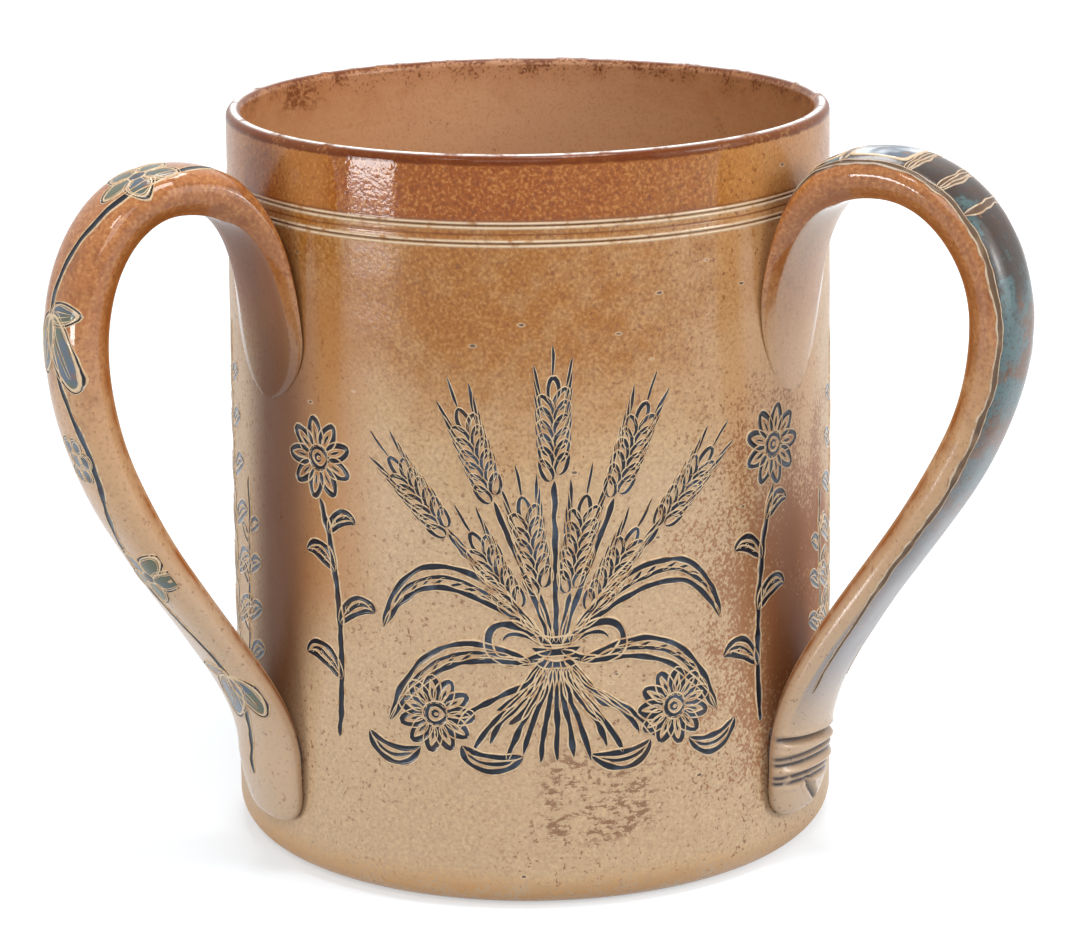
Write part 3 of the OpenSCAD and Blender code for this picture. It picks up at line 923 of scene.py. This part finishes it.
# Sheaf of wheat: two fans of ears over a knotted tie, cut stalks below it, drooping blades and a daisy each side,
# with a tall flower on the sides that are named
def wheatSheaf(w, flowerSides):
    tie = np.array(w["tie"])
    strokes = []
    for reach, spread, count in zip(w["reach"], w["spread"], (w["ears"], w["ears"] + 1)):
        for share in np.linspace(-1, 1, count):
            angle = share * w["fan"] * spread
            along = heading(angle)[0]
            base = tie + along * (reach - 5 * abs(share)) + [share * 3, 0]
            strokes += wheatEar(base, angle * 1.06, w["earLength"] * (1 - 0.08 * abs(share)), w["grains"])
            stem = bend(tie + [share * 3, 1.5], tie + [share * 3.4, 6], base - along * 7, base)
            strokes.append((stem, "middle"))
    for share in np.linspace(-1, 1, w["stalks"]):
        foot = np.array([tie[0] + share * 21, w["stalkEnd"] + 5 * share ** 2 + 1.5 * np.sin(share * 17)])
        stalk = bend(tie + [share * 3.5, -3.5], tie + [share * 5, -10], foot + [-share * 5, 9], foot)
        strokes.append((stalk, "middle"))
    for lift in (-2.6, 0, 2.4):
        wrap = [tie + [x, lift + y] for x, y in ((-5, 0.6), (-2, -0.8), (2, -0.8), (5, 0.6))]
        strokes.append((bend(*wrap), "main"))
    for turn in (-1, 1):
        spots = lambda *pairs: [tie + [turn * x, y] for x, y in pairs]
        loop = np.concatenate([bend(*spots((1, 0), (6, 7), (15, 7.5), (14, 1))),
                               bend(*spots((14, 1), (13, -4), (6, -3), (1, 0)))[1:]])
        strokes.append((loop, "main"))
        strokes.append((bend(*spots((3, 1), (6, 4), (10, 4.5), (11, 2))), "fine"))
        strokes.append((bend(*spots((1.5, -1), (6, -6), (7, -11), (12.5, -13))), "main"))
        strokes.append((bend(*spots((0.8, -2), (4, -8), (5, -13), (10, -16))), "main"))
        strokes += blade(*spots((4, 4), (16, 16), (30, 22), (37, 3)), 4.6, 7)
        strokes += blade(*spots((5, -3), (18, 2), (28, 0), (36, -17)), 4.2, 6)
        strokes += daisy(*spots((25.5, -14.5)), 8.0, 11, 8 * turn)
        strokes += blade(*spots((20, -21), (18, -25), (12, -26), (7, -23)), 3.4)
        strokes += blade(*spots((29, -22), (33, -26), (38, -25), (41, -20)), 3.4)
    for turn in flowerSides:
        strokes += flowerStem(tie + [turn * 49, -23], tie + [turn * 53, 37], 8.5, turn)
    return strokes


# Tall flower beside the sheaf: a stem that leans out, leaves by turns and a round flower at its top
def flowerStem(base, top, radius, turn):
    spine = bend(base, mix(base, top, 0.35) - [turn * 4, 0], mix(base, top, 0.7) - [turn * 3, 0], top - [0, radius], 40)
    strokes = [(spine, "main")] + daisy(top, radius, 9, 10 * turn)
    for k, side in ((8, -1), (16, 1), (24, -1), (31, 1)):
        strokes += sideLeaf(spine[k], side, 11.0 - k * 0.12, (0.5, 0.7, 0.4), 0.36, 3)
    return strokes


# Puts drawn lines on the wall: across is measured round it from an azimuth, where 0 is the front
def onWall(azimuth):
    def place(x, z, lift):
        x, z, lift = np.broadcast_arrays(x, z, lift)
        a = np.radians(azimuth - 90) + x / wallRadius(z)
        r = wallRadius(z) + wallSway(a, z) + lift
        return np.stack([r * np.cos(a), r * np.sin(a), z], -1)
    return place


lines = lineMaterial("glaze_filled_lines", lineGlaze)
clayLines = lineMaterial("clay_lines", clayLine)
panels = dict(
    front=(4.0, wheatSheaf(sheaf, (-1, 1)), 61),
    leftStems=(-76.0, leafyStem((0, 34), (-3, 116), 3.0, 6, 12.0) + leafyStem((9, 32), (10, 84), -2.0, 4, 9.0), 62),
    rightStems=(78.0, leafyStem((0, 32), (3, 112), -3.0, 6, 12.0) + leafyStem((-9, 31), (-9, 80), 2.0, 4, 9.0), 63),
    leftRear=(-122.0, wheatSheaf(sheaf, (-1,)), 64),
    rightRear=(122.0, wheatSheaf(sheaf, (1,)), 65),
)
for name, (azimuth, strokes, seed) in panels.items():
    makeLines("incised_" + name, strokes, onWall(azimuth), seed, lines)


# Puts drawn lines on the back of a handle: x along its centre line from the tongue, y across it
def onStrap(s, h, line):
    def place(x, y, lift):
        x, y, lift = np.broadcast_arrays(x, y, lift)
        pick = lambda values: np.interp(x, line["length"], values)
        where = np.stack([pick(line["place"][:, 0]), pick(line["place"][:, 1])], -1)
        head = np.stack([pick(line["head"][:, 0]), pick(line["head"][:, 1])], -1)
        wide, thick, power = pick(line["halfWide"]), pick(line["halfThick"]), s["outerCorner"]
        u = np.clip(y / wide, -0.985, 0.985)
        v = -(1 - np.abs(u) ** power) ** (1 / power)
        normal = unit(np.stack([np.sign(u) * np.abs(u) ** (power - 1) / wide, -np.abs(v) ** (power - 1) / thick], -1))
        return strapPoints(s, h, where, head, u * wide + normal[..., 0] * lift, v * thick + normal[..., 1] * lift)
    return place


# Trailing vine down a handle, as lines and pools: a wavy stem with a flower, leaves and bunches of berries by turns
def trailingVine(start, end, pitch, swing, middle):
    x = np.linspace(start, end, 260)
    strokes = [(np.stack([x, middle + swing * np.sin(2 * np.pi * (x - start) / pitch)], -1), "main")]
    leaves, berries = [], []
    for k, at in enumerate(np.arange(start + pitch / 4, end - 6, pitch / 2)):
        turn = -1 if k % 2 else 1
        root = np.array([at, middle + swing * turn])
        if k % 3 == 0:
            eye = root + [0, -turn * 4.4]
            for angle in np.arange(5) * 72 + 20:
                leaves.append(almond(eye + heading(angle)[0] * 1.3, angle, 5.8, 4.6))
                strokes.append((leaves[-1], "fine"))
            berries.append(ring(eye, 1.6, 15))
        elif k % 3 == 1:
            for angle, size in ((90 + turn * 30, 16.0), (90 - turn * 16, 12.0), (90 + turn * 96, 8.5)):
                leaf = almond(root, angle, size, size * 0.46)
                leaves.append(leaf)
                along = heading(angle)[0]
                strokes.append((np.stack([root + along * size * 0.08, root + along * size * 0.85]), "fine"))
                strokes.append((leaf, "fine"))
        else:
            for dx, dy in ((0, -2.2), (3.2, -3.4), (-3.0, -3.8), (0.2, -5.4), (3.4, -6.9), (-2.8, -7.2)):
                berries.append(ring(root + [dx, turn * dy], 1.8, 15))
                strokes.append((berries[-1], "fine"))
    return strokes, leaves, berries


leafPool = poolMaterial("blue_green_leaf_glaze", poolGlaze, poolGlaze["blue"], poolGlaze["green"])
berryPool = poolMaterial("blue_berry_glaze", poolGlaze, poolGlaze["blue"], lineGlaze["pool"])
skyPool = poolMaterial("pale_blue_panel_glaze", poolGlaze, poolGlaze["sky"], poolGlaze["blue"])
# Vines: seed, and how far off the middle of the back they run
for side, seed, middle in (("left", 71, 2.6), ("rear", 73, 0.0)):
    line = straps[side]["line"]
    place = onStrap(strap, handles[side], line)
    strokes, leaves, berries = trailingVine(50, line["last"] - 10, 58, 3.4, middle)
    makeLines(side + "_vine", strokes, place, seed, lines)
    makePools(side + "_leaves", leaves, place, leafPool)
    makePools(side + "_berries", berries, place, berryPool)

# Right handle: a line down each edge of the back, and bars with glazed cells between them over the arch
edging = dict(at=0.9 * strap["bellyWidth"] / 2, start=42.0, end=31.0, cells=((44, 53), (54.5, 66), (68, 73), (75, 80)),
              glazed=2, inset=1.9)
rightLine = straps["right"]["line"]
onRight = onStrap(strap, handles["right"], rightLine)
edgeAt, cells = edging["at"], edging["cells"]
down = np.linspace(edging["start"], rightLine["last"] - edging["end"], 240)
strokes = [(np.stack([down, turn * (edgeAt + 0.1 * unevenness(down, 12, 81 + turn))], -1), "edge")
           for turn in (-1, 1)]
barSway, barAcross = 0.3 * np.sin(np.linspace(0, 5, 30)), np.linspace(-edgeAt, edgeAt, 30)
strokes += [(np.stack([x + barSway, barAcross], -1), "middle")
            for low, high in cells for x in (low - 0.7, high + 0.7)]
makeLines("right_edge_lines", strokes, onRight, 72, clayLines)
turnOnce = np.linspace(0, 2 * np.pi, 49)
square = np.stack([np.cos(turnOnce), np.sin(turnOnce)], -1)
square = np.sign(square) * np.abs(square) ** 0.25
outlines = [square * [(high - low) / 2, edgeAt - edging["inset"]] + [(low + high) / 2, 0]
            for low, high in cells[:edging["glazed"]]]
makePools("right_panel_glaze", outlines, onRight, skyPool)


# 1 for what the camera and reflections see, where table and surroundings show as white; the table keeps the shadow
def seen(tree):
    path = put(tree, "LightPath").socket.node.outputs
    rays = [Wire(tree, path[name]) for name in ("Is Camera Ray", "Is Glossy Ray", "Is Transmission Ray")]
    return calc("MAXIMUM", rays[0], calc("MAXIMUM", *rays[1:]))


studio = dict(tableHalf=3.0, tableColour=(0.52, 0.56, 0.6, 1), surround=1.0, fill=0.34,
              nearGlow=0.5, farGlow=0.86, glowReach=(0.15, 0.9), rightGlow=0.12, rightReach=(0.02, 0.1))

tableMesh = bpy.data.meshes.new("table")
half = studio["tableHalf"]
tableMesh.from_pydata([(-half, -half, 0), (half, -half, 0), (half, half, 0), (-half, half, 0)], [], [(0, 1, 2, 3)])
table = addObject("table", tableMesh)
white, tree = newMaterial("white_table")
matte = put(tree, "BsdfDiffuse", {"Color": studio["tableColour"]})
spot = put(tree, "TexCoord", out=3)
away, rightward = put(tree, "VectorMath", {0: spot}, out=1, operation="LENGTH"), put(tree, "SeparateXYZ", {0: spot})
strength = (studio["nearGlow"] + rise(away, *studio["glowReach"], studio["farGlow"] - studio["nearGlow"])
            + rise(rightward, *studio["rightReach"], studio["rightGlow"]))
paintedGlow = put(tree, "Emission", {"Color": (1, 1, 1, 1), "Strength": seen(tree) * strength})
put(tree, "OutputMaterial", {"Surface": put(tree, "AddShader", {0: matte, 1: paintedGlow})})
tableMesh.materials.append(white)

world = bpy.data.worlds.new("white_room")
world.use_nodes = True
tree = world.node_tree
tree.nodes.clear()
strength = studio["fill"] + seen(tree) * (studio["surround"] - studio["fill"])
put(tree, "OutputWorld", {"Surface": put(tree, "Background", {"Color": (1, 1, 1, 1), "Strength": strength})})
bpy.context.scene.world = world

# Soft panel lamps: place in metres, the height on the axis that they look at, width, height and watts
lamps = {
    "left_lamp": ((-0.74, -0.455, 0.073), 0.073, 0.28, 0.12, 2.3),
    "front_lamp": ((-0.1, -1.0, 0.8), 0.08, 0.6, 0.5, 3.3),
    "top_lamp": ((0.14, -0.2, 1.1), 0.08, 0.36, 0.36, 5.0),
    "rear_lamp": ((-0.08, 0.45, 0.95), 0.1, 0.36, 0.36, 4.2),
    "right_lamp": ((0.95, -0.4, 0.45), 0.08, 0.8, 0.8, 4.8),
    "left_glint": ((-0.42, -0.6, 0.9), 0.12, 0.16, 0.16, 1.1),
    "right_glint": ((0.85, -0.35, 0.42), 0.12, 0.2, 0.2, 1.5),
}
for name, (place, target, width, height, watts) in lamps.items():
    lamp = bpy.data.lights.new(name, "AREA")
    lamp.shape, lamp.size, lamp.size_y, lamp.energy = "RECTANGLE", width, height, watts
    aim = (Vector((0, 0, target)) - Vector(place)).to_track_quat("-Z", "Y")
    addObject(name, lamp).matrix_world = Matrix.Translation(place) @ aim.to_matrix().to_4x4()
print("table and", len(lamps), "lamps set")

# Camera of the photograph: place in mm, nose down by pitch, turned by yaw and tipped by roll, in radians
view = dict(place=(0.0, -768.6, 286.8), pitch=0.2665, yaw=0.0024, roll=0.0115, lens=119.77, sensor=36.0)

lens = bpy.data.cameras.new("photo_view")
lens.lens, lens.sensor_width, lens.sensor_fit = view["lens"], view["sensor"], "HORIZONTAL"
lens.clip_start, lens.clip_end = 0.01, 20
camera = addObject("photo_view", lens)
forward = Vector((view["yaw"] * np.cos(view["pitch"]), np.cos(view["pitch"]), -np.sin(view["pitch"]))).normalized()
level = forward.cross(Vector((0, 0, 1))).normalized()
upright = level.cross(forward)
right = level * np.cos(view["roll"]) - upright * np.sin(view["roll"])
up = level * np.sin(view["roll"]) + upright * np.cos(view["roll"])
turned = Matrix((right, up, -forward)).transposed().to_4x4()
camera.matrix_world = Matrix.Translation(Vector(view["place"]) * mm) @ turned
bpy.context.scene.camera = camera
bpy.context.scene.view_settings.view_transform = "Standard"
print("camera set")
